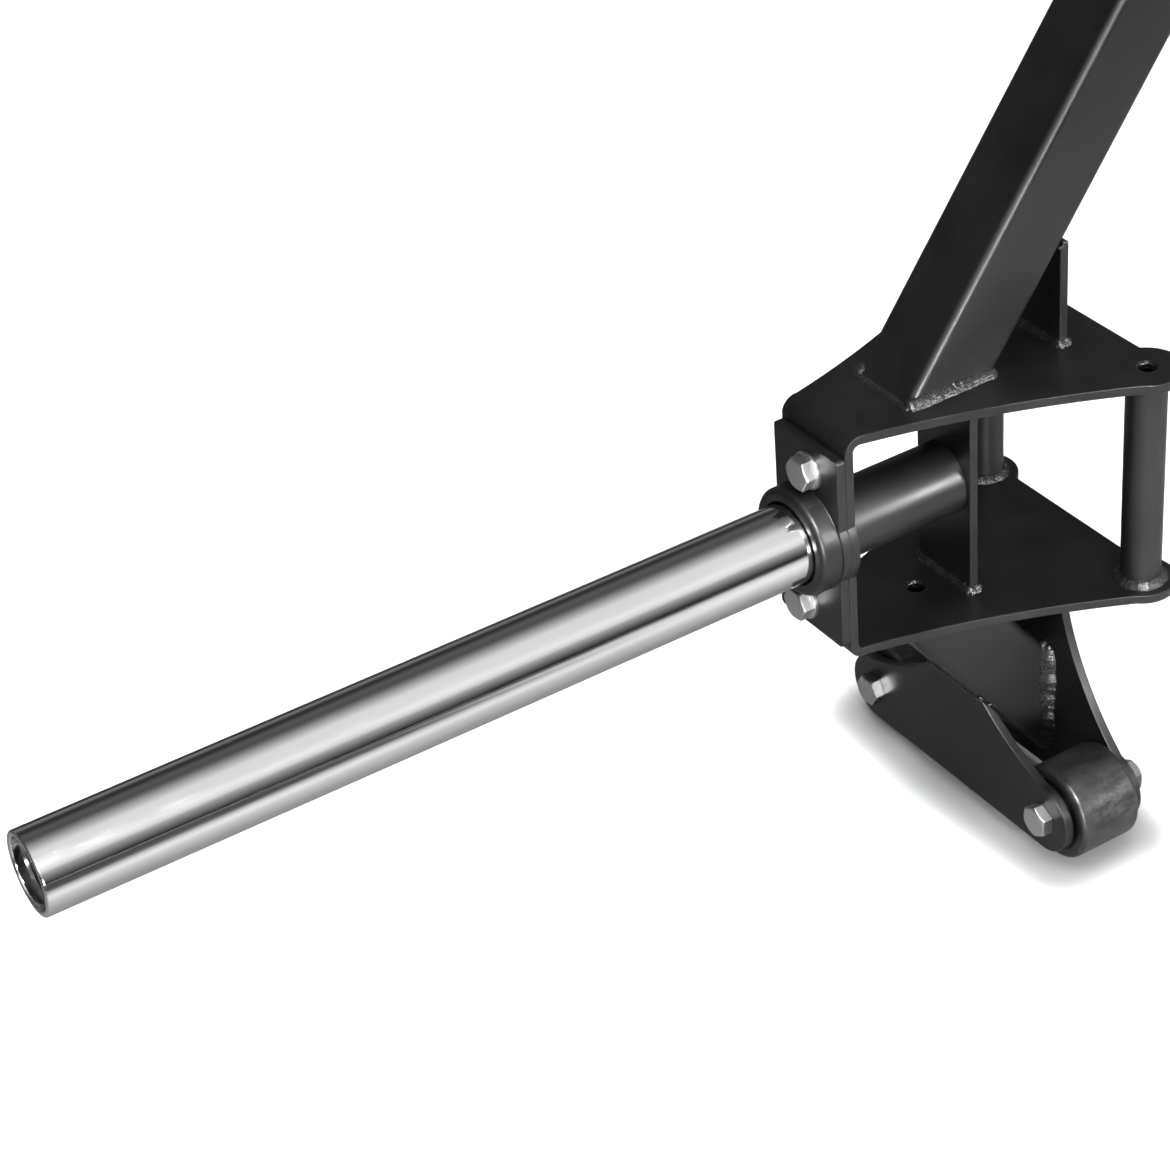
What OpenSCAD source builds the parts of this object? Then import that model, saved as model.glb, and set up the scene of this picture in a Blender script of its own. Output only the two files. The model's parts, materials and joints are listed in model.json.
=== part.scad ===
// Open-ended trap bar, standing upright on its built-in jack feet.
// X runs along the sleeves, Y from front to rear and Z up. The origin is on the
// floor, midway between the sleeves. The left half is the right half mirrored.

/* [Bar] */
// Distance between the left and right handle centre lines
handle_spacing = 648; // [600:1:720]
// Loadable length of each sleeve, from the collar ring to the sleeve's end
sleeve_len = 488; // [400:1:520]
// Height of the crossbar's centre line above the sleeves' axis
frame_rise = 400; // [340:5:440]
// Lean of the two uprights from the vertical
frame_lean = 36.5; // [30:0.5:40]

/* [Bracket] */
// Thickness of the bent bracket and of the plates welded to it
plate_t = 6; // [5:0.5:7]
// Clear height between the bracket's two flanges
clear_height = 142; // [132:1:160]
// Width of the bracket's web and of the sleeve's mounting plate
web_w = 62; // [56:1:66]
// Distance from the handles' centre line out to the web's outer face
bracket_reach = 185; // [180:1:200]
// Outer radius of the bends between web and flanges
bend_r = 10; // [9:0.5:13]
// Radius of the round lobes that carry the handles
lobe_r = 22; // [20:0.5:25]
// Distance from the handles' centre line in to the flanges' straight edge
edge_in = 11; // [8:0.5:14]
// Depth of the flanges' concave sweeps
sweep = 6; // [3:0.5:9]
// Diameter of the vent holes in the flanges
vent_d = 12; // [9:0.5:13]
// Distance from the web's outer face in to the inner plate
inner_plate_in = 94; // [84:1:100]

/* [Handles] */
// Outer diameter of the handles
handle_d = 25; // [24:0.5:29]
// Wall of the handle tubes
handle_wall = 3; // [2.5:0.5:4]
// Distance between the front and the rear handle
handle_pitch = 151; // [144:1:160]

/* [Frame tube] */
// Side of the square tube
tube_w = 51; // [46:1:54]
// Wall of the square tube
tube_wall = 3; // [2:0.5:4]
// Outer corner radius of the square tube
tube_r = 5; // [4.5:0.5:7]
// Distance from the web's outer face in to the middle of the upright's foot
upright_in = 81; // [77:0.5:92]
// Distance from the handles' centre line out to the gusset's middle
gusset_out = 21; // [14:1:24]

/* [Sleeve] */
// Outer diameter of the chrome sleeve
sleeve_d = 50; // [49:0.1:50.4]
// Wall of the sleeve tube
sleeve_wall = 4; // [3.5:0.5:5]
// Depth of the sleeve's open end, in front of its plug
end_depth = 7; // [4:1:14]
// Diameter of the spindle inside the sleeve
spindle_d = 30; // [26:0.5:32]
// Diameter of the spindle's root, which sits in the socket
root_d = 38; // [36:0.5:40]
// Outer diameter of the socket tube behind the web
socket_d = 46; // [45:0.5:52]
// Length of each sleeve bush
bush_len = 30; // [20:1:40]

/* [Sleeve mounting plate] */
// Height of the mounting plate
mount_h = 130; // [120:1:132]
// Corner radius of the mounting plate
mount_r = 3; // [2:0.5:6]
// Radius of the round lobes behind the collar ring, on plate and web
backing_r = 35.5; // [35:0.5:38]
// Outer diameter of the collar ring
collar_d = 68; // [64:1:70]
// Length of the collar ring
collar_len = 14; // [13:1:24]
// Thickness of the collar ring's base, behind the sleeve
collar_base = 4; // [3:0.5:6]
// Distance between the two mounting bolts
bolt_pitch = 96; // [94:1:98]
// Turn of the two mounting bolts about the sleeve's axis
bolt_turn = 4.5; // [0:0.5:5]

/* [Fasteners] */
// Thread diameter of every bolt
bolt_d = 12; // [10:1:12]
// Width across the flats of heads and nuts
hex_af = 19; // [18:0.5:20]
// Height of a bolt head
head_h = 7.5; // [6:0.5:9]
// Height of a nut
nut_h = 10; // [8:0.5:12]
// Diameter of a washer
washer_d = 24; // [22:0.5:24.5]
// Thickness of a washer
washer_t = 2.5; // [1.5:0.5:3]

/* [Jack foot] */
// Diameter of a roller
roller_d = 62; // [58:1:70]
// Length of a roller
roller_len = 44; // [38:1:46]
// Radius of a roller's rounded edges
roller_edge = 3; // [1:0.5:4]
// Distance between the front and rear roller axes
roller_pitch = 172; // [164:1:184]
// Distance from the sleeve's axis down to the roller axes
roller_drop = 212.5; // [206:0.5:224]
// Radius of the foot plates' round ends
foot_r = 23; // [20:0.5:25]
// Distance from the handles' centre line out to the inner foot plate
foot_out = 23; // [20:1:26]
// Depth of the inner foot plate's concave sweep
foot_sweep = 12; // [6:0.5:13]
// Depth of the outer foot plate's concave sweep
outer_sweep = 4.5; // [2:0.5:6]
// Lean of the foot's strut from the vertical
strut_lean = 38; // [36:0.5:40]
// Distance from the web's outer face in to the middle of the strut's top
strut_in = 72; // [69:1:76]
// Outer diameter of the spacer tube on which a roller turns
spacer_d = 20; // [18:0.5:24]

/* [Clearances] */
// Radial running clearance of bushes and rollers
run_gap = 0.05; // [0.02:0.01:0.1]
// Radial clearance of a bolt in its holes
bolt_gap = 0.5; // [0.2:0.1:0.6]
// Radial clearance of the spindle's root in the socket
root_gap = 0.1; // [0.05:0.01:0.15]
// Radial gap between the sleeve and the collar ring
collar_gap = 1.2; // [0.8:0.1:1.6]
// Gap at each end of a roller
side_gap = 2; // [0.5:0.1:2.5]
// Axial play of the sleeve on its spindle
end_play = 0.4; // [0.3:0.1:0.8]

/* [Hidden] */
$fn = 96;
axis_z = roller_drop + roller_d / 2;
half_clear = clear_height / 2;
half_out = half_clear + plate_t;
floor_in = axis_z - half_clear;
floor_out = axis_z - half_out;
roof_in = axis_z + half_clear;
roof_out = axis_z + half_out;
handle_x = handle_spacing / 2;
web_x = handle_x + bracket_reach;
handle_y = handle_pitch / 2;
flange_x = handle_x - edge_in;
mount_x = web_x + plate_t;
collar_x = mount_x + collar_len;
shoulder_x = mount_x + collar_base;
tip_x = collar_x + sleeve_len;
sleeve_ri = sleeve_d / 2 - sleeve_wall;
thrust_t = 2;
sleeve_x = shoulder_x + thrust_t + end_play;
plug_t = 8;
plug_x = tip_x - end_depth - plug_t;
ring_t = 2;
ring_depth = 1;
ring_x = plug_x - 10;
outer_bush_x = ring_x - end_play - bush_len;
spindle_end = ring_x + ring_t + 3;
inner_plate_x = web_x - inner_plate_in - plate_t;
root_x = inner_plate_x + plate_t + 1;
upright_x = web_x - upright_in;
tube_half = tube_w / 2;
cross_z = axis_z + frame_rise;
corner_x = upright_x - (cross_z - roof_out) * tan(frame_lean);
miter = (90 - frame_lean) / 2;
bolt_y = -sin(bolt_turn) * bolt_pitch / 2;
bolt_z = cos(bolt_turn) * bolt_pitch / 2;
gusset_x = handle_x + gusset_out - plate_t / 2;
roller_y = roller_pitch / 2;
roller_z = roller_d / 2;
inner_foot_x = handle_x + foot_out;
bay_x = inner_foot_x + plate_t;
bay_len = roller_len + 2 * side_gap;
outer_foot_x = bay_x + bay_len;
foot_face_x = outer_foot_x + plate_t;
strut_x = web_x - strut_in;
strut_half_x = tube_half / cos(strut_lean);
strut_low_x = strut_x + strut_half_x;
foot_top = floor_out - (strut_low_x - foot_face_x) / tan(strut_lean);
bolt_r = bolt_d / 2;
hole_r = bolt_r + bolt_gap;
big = 2000;

black = [0.08, 0.08, 0.085];
chrome = [0.80, 0.81, 0.83];
zinc = [0.70, 0.70, 0.72];
steel = [0.45, 0.46, 0.48];
bronze = [0.62, 0.47, 0.25];
worn = [0.17, 0.17, 0.175];

// Small helpers

// A cylinder along X from x0 to x1
module xcyl(x0, x1, r, y = 0, z = axis_z) {
    translate([x0, y, z]) rotate([0, 90, 0]) cylinder(h = x1 - x0, r = r);
}

// A shape turned round the X axis from a profile of (x, radius) points
module xturn(y = 0, z = axis_z) {
    translate([0, y, z]) rotate([0, 90, 0]) rotate_extrude() rotate(90) mirror([0, 1]) children();
}

// A flat shape in the YZ plane, from x0 to x1
module yz_plate(x0, x1) {
    translate([x0, 0, 0]) rotate([90, 0, 90]) linear_extrude(x1 - x0) children();
}

// A flat shape in the XZ plane, centred on Y
module xz_plate(w) {
    translate([0, w / 2, 0]) rotate([90, 0, 0]) linear_extrude(w) children();
}

// A rectangle with round corners, centred
module round_rect(w, h, r) {
    square([w, h - 2 * r], center = true);
    square([w - 2 * r, h], center = true);
    for (sx = [-1, 1]) for (sy = [-1, 1])
        translate([sx * (w / 2 - r), sy * (h / 2 - r)]) circle(r = r);
}

// A circle through a and b that bulges past their chord by s, centred to the left
module sweep_cut(a, b, s) {
    len = norm(b - a);
    r = len * len / (8 * s) + s / 2;
    n = [a[1] - b[1], b[0] - a[0]] / len;
    translate((a + b) / 2 + n * (r - s)) circle(r = r, $fn = 360);
}

// The right half and its mirror image
module both_sides() {
    children();
    mirror([1, 0, 0]) children();
}

// Hexagon with a chamfered face at its far end, along +X from x0
module hex_x(x0, h, y, z, turn = 0) {
    rc = hex_af / sqrt(3);
    translate([x0, y, z]) rotate([0, 90, 0]) intersection() {
        rotate(turn) cylinder(r = rc, h = h, $fn = 6);
        rotate_extrude() polygon([
            [0, 0], [rc + 0.1, 0], [rc + 0.1, h - 1.1], [hex_af / 2 - 0.5, h], [0, h]
        ]);
    }
}

// A hexagonal nut with both faces chamfered, along +X from x0
module nut_x(x0, h, y, z, turn = 0) {
    rc = hex_af / sqrt(3);
    translate([x0, y, z]) rotate([0, 90, 0]) difference() {
        intersection() {
            rotate(turn) cylinder(r = rc, h = h, $fn = 6);
            rotate_extrude() polygon([
                [0, 0], [hex_af / 2 - 0.5, 0], [rc + 0.1, 1.1],
                [rc + 0.1, h - 1.1], [hex_af / 2 - 0.5, h], [0, h]
            ]);
        }
        translate([0, 0, -1]) cylinder(r = bolt_r, h = h + 2);
    }
}

// Square tube section, centred
module tube_section() {
    difference() {
        round_rect(tube_w, tube_w, tube_r);
        round_rect(tube_w - 2 * tube_wall, tube_w - 2 * tube_wall, tube_r - tube_wall);
    }
}

// The bracket: one plate bent to a C, with lobed flanges and a web

module bracket_plan() {
    front = [handle_x, -handle_y];
    end = front + (lobe_r - 1) * [sin(30), -cos(30)];
    root = [web_x - bend_r - 1, -web_w / 2];
    difference() {
        polygon([
            [web_x, -web_w / 2], [web_x, web_w / 2], [root[0], -root[1]], [end[0], -end[1]],
            [handle_x, handle_y], [flange_x, handle_y], [flange_x, -handle_y], front, end, root
        ]);
        sweep_cut(root, end, sweep);
        mirror([0, 1]) sweep_cut(root, end, sweep);
    }
    translate([root[0], root[1]]) square([bend_r + 1, web_w]);
    for (s = [-1, 1]) translate([handle_x, s * handle_y]) circle(r = lobe_r);
}

// Side view of a bent plate's solid, open towards -X
module bend_profile(h, x1, r) {
    x0 = flange_x - 30;
    translate([x0, -h / 2]) square([x1 - r - x0, h]);
    translate([x0, -h / 2 + r]) square([x1 - x0, h - 2 * r]);
    for (s = [-1, 1]) translate([x1 - r, s * (h / 2 - r)]) circle(r = r);
}

module bracket() {
    difference() {
        union() {
            intersection() {
                translate([0, 0, axis_z]) xz_plate(600) difference() {
                    bend_profile(2 * half_out, web_x, bend_r);
                    translate([-plate_t, 0]) bend_profile(clear_height, web_x, bend_r - plate_t);
                }
                translate([0, 0, floor_out - 1]) linear_extrude(2 * half_out + 2) bracket_plan();
            }
            xcyl(web_x - plate_t, web_x, backing_r);
        }
        xcyl(web_x - plate_t - 1, web_x + 1, root_d / 2 + root_gap);
        for (s = [-1, 1])
            xcyl(web_x - plate_t - 1, web_x + 1, hole_r, s * bolt_y, axis_z + s * bolt_z);
        for (s = [-1, 1]) translate([handle_x, s * handle_y, floor_out - 1])
            cylinder(d = vent_d, h = 2 * half_out + 2);
        translate([strut_x, 0, floor_out - 1]) cylinder(d = vent_d, h = plate_t + 2);
        translate([upright_x, 0, roof_in - 1]) cylinder(d = vent_d, h = plate_t + 2);
    }
}

module inner_plate() {
    translate([inner_plate_x, -tube_half, floor_in]) cube([plate_t, tube_w, clear_height]);
}

// The tube behind the web that takes the spindle's root
module spindle_socket() {
    difference() {
        xcyl(inner_plate_x + plate_t, web_x - plate_t, socket_d / 2);
        xcyl(inner_plate_x, web_x, root_d / 2 + root_gap);
    }
}

module handle(y) {
    translate([handle_x, y, floor_in]) difference() {
        cylinder(d = handle_d, h = clear_height);
        translate([0, 0, -1]) cylinder(d = handle_d - 2 * handle_wall, h = clear_height + 2);
    }
}

// The frame: two leaning uprights mitred to a crossbar

// Everything on the outer side of the mitre at the frame's corner
module miter_side() {
    translate([corner_x, 0, cross_z]) rotate([0, miter, 0])
        translate([0, -big / 2, -big / 2]) cube([big, big, big]);
}

module upright() {
    intersection() {
        translate([upright_x, 0, roof_out]) rotate([0, -frame_lean, 0])
            translate([0, 0, -200]) linear_extrude(1200) tube_section();
        translate([-big / 2, -big / 2, roof_out]) cube([big, big, big]);
        miter_side();
    }
}

module cross_tube() {
    difference() {
        translate([-corner_x - 200, 0, cross_z]) rotate([90, 0, 90])
            linear_extrude(2 * corner_x + 400) tube_section();
        both_sides() miter_side();
    }
}

// Upright plate from the flange to the underside of the leaning tube, with one
// top edge bevelled to lie against the tube
module upright_gusset() {
    face_x = upright_x - tube_half / cos(frame_lean);
    top = function (x) roof_out + (face_x - x) / tan(frame_lean);
    x1 = gusset_x + plate_t;
    bevel_x = x1 - plate_t / 3;
    xz_plate(tube_w) polygon([
        [gusset_x, roof_out], [x1, roof_out], [x1, top(x1)], [bevel_x, top(bevel_x)],
        [gusset_x, top(bevel_x)]
    ]);
}

// The sleeve and what carries it

module sleeve_mount() {
    e = 4;
    difference() {
        union() {
            yz_plate(web_x, mount_x) translate([0, axis_z]) round_rect(web_w, mount_h, mount_r);
            xcyl(web_x, mount_x, backing_r);
            xturn() {
                translate([mount_x, 0]) square([collar_len - e, collar_d / 2]);
                translate([mount_x, 0]) square([collar_len, collar_d / 2 - e]);
                translate([collar_x - e, collar_d / 2 - e]) circle(r = e, $fn = 32);
            }
        }
        xcyl(web_x - 1, collar_x, root_d / 2);
        xcyl(shoulder_x, collar_x + 1, sleeve_d / 2 + collar_gap);
        for (s = [-1, 1]) xcyl(web_x - 1, mount_x + 1, hole_r, s * bolt_y, axis_z + s * bolt_z);
    }
}

module spindle() {
    r = spindle_d / 2;
    xturn() difference() {
        polygon([
            [root_x, 0], [root_x, root_d / 2 - 1.5], [root_x + 1.5, root_d / 2],
            [shoulder_x, root_d / 2], [shoulder_x, r], [spindle_end - 1, r],
            [spindle_end, r - 1], [spindle_end, 0]
        ]);
        translate([ring_x, r - ring_depth]) square([ring_t, ring_depth + 1]);
    }
}

module thrust_washer() {
    difference() {
        xcyl(shoulder_x, shoulder_x + thrust_t, sleeve_d / 2 - 0.5);
        xcyl(shoulder_x - 1, shoulder_x + thrust_t + 1, spindle_d / 2 + run_gap);
    }
}

module retaining_ring() {
    difference() {
        xcyl(ring_x, ring_x + ring_t, spindle_d / 2 + 3);
        xcyl(ring_x - 1, ring_x + ring_t + 1, spindle_d / 2 - ring_depth);
    }
}

module sleeve_tube() {
    lip = 1.5;
    difference() {
        xturn() {
            translate([sleeve_x, sleeve_ri]) square([tip_x - sleeve_x - lip, sleeve_wall]);
            translate([sleeve_x, sleeve_ri + lip])
                square([tip_x - sleeve_x, sleeve_wall - 2 * lip]);
            for (r = [sleeve_ri + lip, sleeve_d / 2 - lip])
                translate([tip_x - lip, r]) circle(r = lip, $fn = 32);
        }
        xcyl(sleeve_x - 1, tip_x - lip - 1, sleeve_ri);
    }
}

module bush(x0) {
    difference() {
        xcyl(x0, x0 + bush_len, sleeve_ri);
        xcyl(x0 - 1, x0 + bush_len + 1, spindle_d / 2 + run_gap);
    }
}

// The dished plug in the sleeve's open end
module sleeve_plug() {
    difference() {
        xcyl(plug_x, plug_x + plug_t, sleeve_ri);
        xcyl(plug_x + plug_t - 3, plug_x + plug_t + 1, sleeve_ri - 4);
        xcyl(plug_x - 1, plug_x + plug_t - 6, sleeve_ri - 4);
    }
}

// The mounting bolts and their washers and nuts
module mount_bolt(s) {
    y = s * bolt_y;
    z = axis_z + s * bolt_z;
    hex_x(mount_x + washer_t, head_h, y, z, 30);
    xcyl(web_x - plate_t - nut_h - 3, mount_x + washer_t, bolt_r, y, z);
}

module washer_x(x0, y, z) {
    difference() {
        xcyl(x0, x0 + washer_t, washer_d / 2, y, z);
        xcyl(x0 - 1, x0 + washer_t + 1, hole_r, y, z);
    }
}

// The jack foot: a leaning strut, two plates and two rollers

module foot_strut() {
    intersection() {
        translate([strut_x, 0, floor_out]) rotate([0, strut_lean, 0])
            translate([0, 0, -400]) linear_extrude(600) tube_section();
        translate([bay_x, -100, 0]) cube([400, 200, floor_out]);
    }
}

// A foot plate from x0 to x1: a flat top of half width half_w, round ends at the
// axles and concave sides of depth s
module foot_plate(x0, x1, top_z, half_w, s) {
    top = [half_w, top_z];
    end = [roller_y + (foot_r - 1) * sin(15), roller_z + (foot_r - 1) * cos(15)];
    low = roller_z - foot_r;
    difference() {
        union() {
            difference() {
                yz_plate(x0, x1) polygon([
                    [-half_w, top_z], top, end, [roller_y, low], [-roller_y, low], [-end[0], end[1]]
                ]);
                yz_plate(x0 - 1, x1 + 1) {
                    sweep_cut(top, end, s);
                    mirror([1, 0]) sweep_cut(top, end, s);
                }
            }
            for (y = [-roller_y, roller_y]) xcyl(x0, x1, foot_r, y, roller_z);
        }
        for (y = [-roller_y, roller_y]) xcyl(x0 - 1, x1 + 1, hole_r, y, roller_z);
    }
}

module foot_inner_plate() {
    foot_plate(inner_foot_x, bay_x, floor_out, web_w / 2, foot_sweep);
}

// The outer plate's top edge is bevelled to lie under the strut
module foot_outer_plate() {
    difference() {
        foot_plate(outer_foot_x, foot_face_x, foot_top, tube_half, outer_sweep);
        translate([foot_face_x, -100, foot_top]) rotate([0, strut_lean, 0])
            translate([-60, 0, -60]) cube([60, 200, 120]);
    }
}

module roller(y) {
    r = roller_d / 2;
    e = roller_edge;
    x0 = bay_x + side_gap;
    x1 = outer_foot_x - side_gap;
    difference() {
        xturn(y, roller_z) {
            translate([x0 + e, 0]) square([x1 - x0 - 2 * e, r]);
            translate([x0, 0]) square([x1 - x0, r - e]);
            for (x = [x0 + e, x1 - e]) translate([x, r - e]) circle(r = e, $fn = 48);
        }
        xcyl(x0 - 1, x1 + 1, spacer_d / 2 + run_gap, y, roller_z);
        for (x = [x0 - 1, x1 - 2]) difference() {
            xcyl(x, x + 3, r - 7, y, roller_z);
            xcyl(x - 1, x + 4, spacer_d / 2 + 5, y, roller_z);
        }
    }
}

module spacer(y) {
    difference() {
        xcyl(bay_x, outer_foot_x, spacer_d / 2, y, roller_z);
        xcyl(bay_x - 1, outer_foot_x + 1, bolt_r + 0.1, y, roller_z);
    }
}

module axle_bolt(y) {
    hex_x(foot_face_x, head_h, y, roller_z, y > 0 ? 30 : 0);
    xcyl(inner_foot_x - washer_t - nut_h - 3, foot_face_x, bolt_r, y, roller_z);
}

// One module per node

module c_bracket_right() color(black) bracket();
module c_bracket_left() color(black) mirror([1, 0, 0]) bracket();
module inner_plate_right() color(black) inner_plate();
module inner_plate_left() color(black) mirror([1, 0, 0]) inner_plate();
module spindle_socket_right() color(black) spindle_socket();
module spindle_socket_left() color(black) mirror([1, 0, 0]) spindle_socket();
module front_handle_right() color(black) handle(-handle_y);
module front_handle_left() color(black) mirror([1, 0, 0]) handle(-handle_y);
module rear_handle_right() color(black) handle(handle_y);
module rear_handle_left() color(black) mirror([1, 0, 0]) handle(handle_y);
module upright_right() color(black) upright();
module upright_left() color(black) mirror([1, 0, 0]) upright();
module crossbar() color(black) cross_tube();
module upright_gusset_right() color(black) upright_gusset();
module upright_gusset_left() color(black) mirror([1, 0, 0]) upright_gusset();
module sleeve_mount_right() color(black) sleeve_mount();
module sleeve_mount_left() color(black) mirror([1, 0, 0]) sleeve_mount();
module spindle_right() color(steel) spindle();
module spindle_left() color(steel) mirror([1, 0, 0]) spindle();
module thrust_washers() color(bronze) both_sides() thrust_washer();
module retaining_rings() color(steel) both_sides() retaining_ring();
module sleeve_right() color(chrome) sleeve_tube();
module sleeve_left() color(chrome) mirror([1, 0, 0]) sleeve_tube();
module sleeve_bushes_right() color(bronze) for (x = [sleeve_x, outer_bush_x]) bush(x);
module sleeve_bushes_left() color(bronze) mirror([1, 0, 0])
    for (x = [sleeve_x, outer_bush_x]) bush(x);
module sleeve_plug_right() color(black) sleeve_plug();
module sleeve_plug_left() color(black) mirror([1, 0, 0]) sleeve_plug();
module mount_bolts() color(zinc) both_sides() for (s = [-1, 1]) mount_bolt(s);
module mount_washers() color(zinc) both_sides()
    for (s = [-1, 1]) washer_x(mount_x, s * bolt_y, axis_z + s * bolt_z);
module mount_nuts() color(zinc) both_sides() for (s = [-1, 1])
    nut_x(web_x - plate_t - nut_h, nut_h, s * bolt_y, axis_z + s * bolt_z);
module foot_strut_right() color(black) foot_strut();
module foot_strut_left() color(black) mirror([1, 0, 0]) foot_strut();
module foot_inner_plate_right() color(black) foot_inner_plate();
module foot_inner_plate_left() color(black) mirror([1, 0, 0]) foot_inner_plate();
module foot_outer_plate_right() color(black) foot_outer_plate();
module foot_outer_plate_left() color(black) mirror([1, 0, 0]) foot_outer_plate();
module front_roller_right() color(worn) roller(-roller_y);
module front_roller_left() color(worn) mirror([1, 0, 0]) roller(-roller_y);
module rear_roller_right() color(worn) roller(roller_y);
module rear_roller_left() color(worn) mirror([1, 0, 0]) roller(roller_y);
module roller_spacers() color(steel) both_sides() for (s = [-1, 1]) spacer(s * roller_y);
module axle_bolts() color(zinc) both_sides() for (s = [-1, 1]) axle_bolt(s * roller_y);
module axle_washers() color(zinc) both_sides()
    for (s = [-1, 1]) washer_x(inner_foot_x - washer_t, s * roller_y, roller_z);
module axle_nuts() color(zinc) both_sides()
    for (s = [-1, 1]) nut_x(inner_foot_x - washer_t - nut_h, nut_h, s * roller_y, roller_z);

c_bracket_left();
c_bracket_right();
inner_plate_left();
inner_plate_right();
spindle_socket_left();
spindle_socket_right();
front_handle_left();
front_handle_right();
rear_handle_left();
rear_handle_right();
upright_left();
upright_right();
crossbar();
upright_gusset_left();
upright_gusset_right();
sleeve_mount_left();
sleeve_mount_right();
spindle_left();
spindle_right();
thrust_washers();
retaining_rings();
sleeve_left();
sleeve_right();
sleeve_bushes_left();
sleeve_bushes_right();
sleeve_plug_left();
sleeve_plug_right();
mount_bolts();
mount_washers();
mount_nuts();
foot_strut_left();
foot_strut_right();
foot_inner_plate_left();
foot_inner_plate_right();
foot_outer_plate_left();
foot_outer_plate_right();
front_roller_left();
rear_roller_left();
front_roller_right();
rear_roller_right();
roller_spacers();
axle_bolts();
axle_washers();
axle_nuts();
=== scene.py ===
"""Looks of the open-ended trap bar: coat, chrome, plated fasteners, weld beads, floor, light and camera."""

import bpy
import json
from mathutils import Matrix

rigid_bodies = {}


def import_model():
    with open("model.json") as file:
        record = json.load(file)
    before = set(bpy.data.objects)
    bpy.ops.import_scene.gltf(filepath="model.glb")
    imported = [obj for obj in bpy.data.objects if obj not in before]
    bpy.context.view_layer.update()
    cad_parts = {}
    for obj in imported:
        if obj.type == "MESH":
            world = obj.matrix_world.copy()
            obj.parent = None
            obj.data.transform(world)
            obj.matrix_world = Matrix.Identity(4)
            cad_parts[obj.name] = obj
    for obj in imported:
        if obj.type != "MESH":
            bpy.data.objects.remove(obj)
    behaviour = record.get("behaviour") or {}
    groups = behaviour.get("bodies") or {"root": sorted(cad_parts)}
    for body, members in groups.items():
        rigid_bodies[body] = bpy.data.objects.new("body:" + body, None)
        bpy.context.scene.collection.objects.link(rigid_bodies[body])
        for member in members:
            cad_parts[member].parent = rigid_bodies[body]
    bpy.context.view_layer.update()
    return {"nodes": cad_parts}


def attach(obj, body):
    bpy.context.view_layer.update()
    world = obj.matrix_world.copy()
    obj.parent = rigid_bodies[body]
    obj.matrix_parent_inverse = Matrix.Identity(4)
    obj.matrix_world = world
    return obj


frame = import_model()

import json
import math
import random

import bpy
from mathutils import Matrix, Vector

MM = 0.001
SIDES = {"left": -1, "right": 1}
nodes = frame["nodes"]

# Camera: place in metres, direction and roll in degrees, lens for a 36 mm sensor
CAMERA_PLACE = (-1.3741, -1.2430, 1.2671)
CAMERA_AZIMUTH = 29.596
CAMERA_DOWN = 34.764
CAMERA_ROLL = 5.19
CAMERA_LENS = 95.43

# Weld beads: pitch of the ripples and size of the remesh, in millimetres
RIPPLE = 1.5
VOXEL = 0.6
# Seed of the first kind of bead; the others follow in the order of SEAMS
FIRST_SEED = 40
# A bead whose leg is no longer than FINE_LEG is remeshed finer, at this share of VOXEL
FINE_LEG = 2.0
FINE_SHARE = 0.6
# A ripple's ball reaches this many pitches to each side along the seam, and this many legs across it
BALL_ALONG = 1.5
BALL_ACROSS = 1.32
# A tapered end starts at this share of the full size; a restart swells by its share over its reach
THIN_END = 0.35
SWELL = 0.15
SWELL_REACH = 8.0
# The welder's hand: the share of its drift that a ripple hands on to the next, the most that it adds to
# the drift and to its size, as shares of the size, and how far off the seam it may lie, in millimetres
DRIFT_KEPT = 0.75
DRIFT = 0.05
UNEVEN = 0.02
OFF_SEAM = 0.25
# Roughness of a bead: a share of its leg, but no more than this, in millimetres
CRUST_SHARE = 0.12
CRUST_MOST = 0.55

# Sizes of the bar that the weld beads follow, in millimetres, for the side at positive X
HANDLE_X = 324.0
HANDLE_Y = 75.5
HANDLE_R = 12.5
FLOOR_OUT = 166.5
FLOOR_IN = 172.5
ROOF_IN = 314.5
ROOF_OUT = 320.5
PLATE = 6.0
TUBE_HALF = 25.5
UPRIGHT_X = 428.0
UPRIGHT_LEAN = math.radians(36.5)
INNER_PLATE_X = 409.0
WEB_X = 509.0
GUSSET_X = 342.0
SOCKET_R = 23.0
AXIS_Z = 243.5
CROSS_Z = 643.5
STRUT_X = 437.0
STRUT_LEAN = math.radians(38.0)
INNER_FOOT_X = 347.0
OUTER_FOOT_X = 401.0
INNER_FOOT_HALF = 31.0
VENT_R = 6.0
# The gusset's top is bevelled by this much
GUSSET_BEVEL = 2.0
# The beads at the strut's foot end this far above its upper and its lower corner
STRUT_RISE = 3.0
STRUT_STOP = 7.0
# The lip of a cut hole lies this far behind its wall, and leans into the hole by this for 1 up
LIP_DEPTH = 0.3
LIP_LEAN = -3.0
# The frame corner's bead lies this deep in the tube's face, and stops at this share of its height
CORNER_DEPTH = 0.8
CORNER_TOP = 0.82

# The feet on the floor, in metres: their middle, and half their width and length
FOOT_X = 0.377
FOOT_HALF_X = 0.025
FOOT_HALF_Y = 0.10
# The floor's painted shadow tone at the feet and its tone away from them, the squared distance over
# which the painted shadow fades, in square metres, and the glow that it has away from them
FOOT_PAINTED_SHADOW = 0.46
PALE = 0.95
PAINTED_SHADOW_REACH = 0.0013
GLOW = 0.14


def deselect():
    for thing in bpy.context.selected_objects:
        thing.select_set(False)


def make_active(thing):
    deselect()
    thing.select_set(True)
    bpy.context.view_layer.objects.active = thing


def apply_all(thing):
    """Applies every modifier of a piece, in order."""
    make_active(thing)
    for modifier in list(thing.modifiers):
        bpy.ops.object.modifier_apply(modifier=modifier.name)


# Shader helpers


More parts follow.
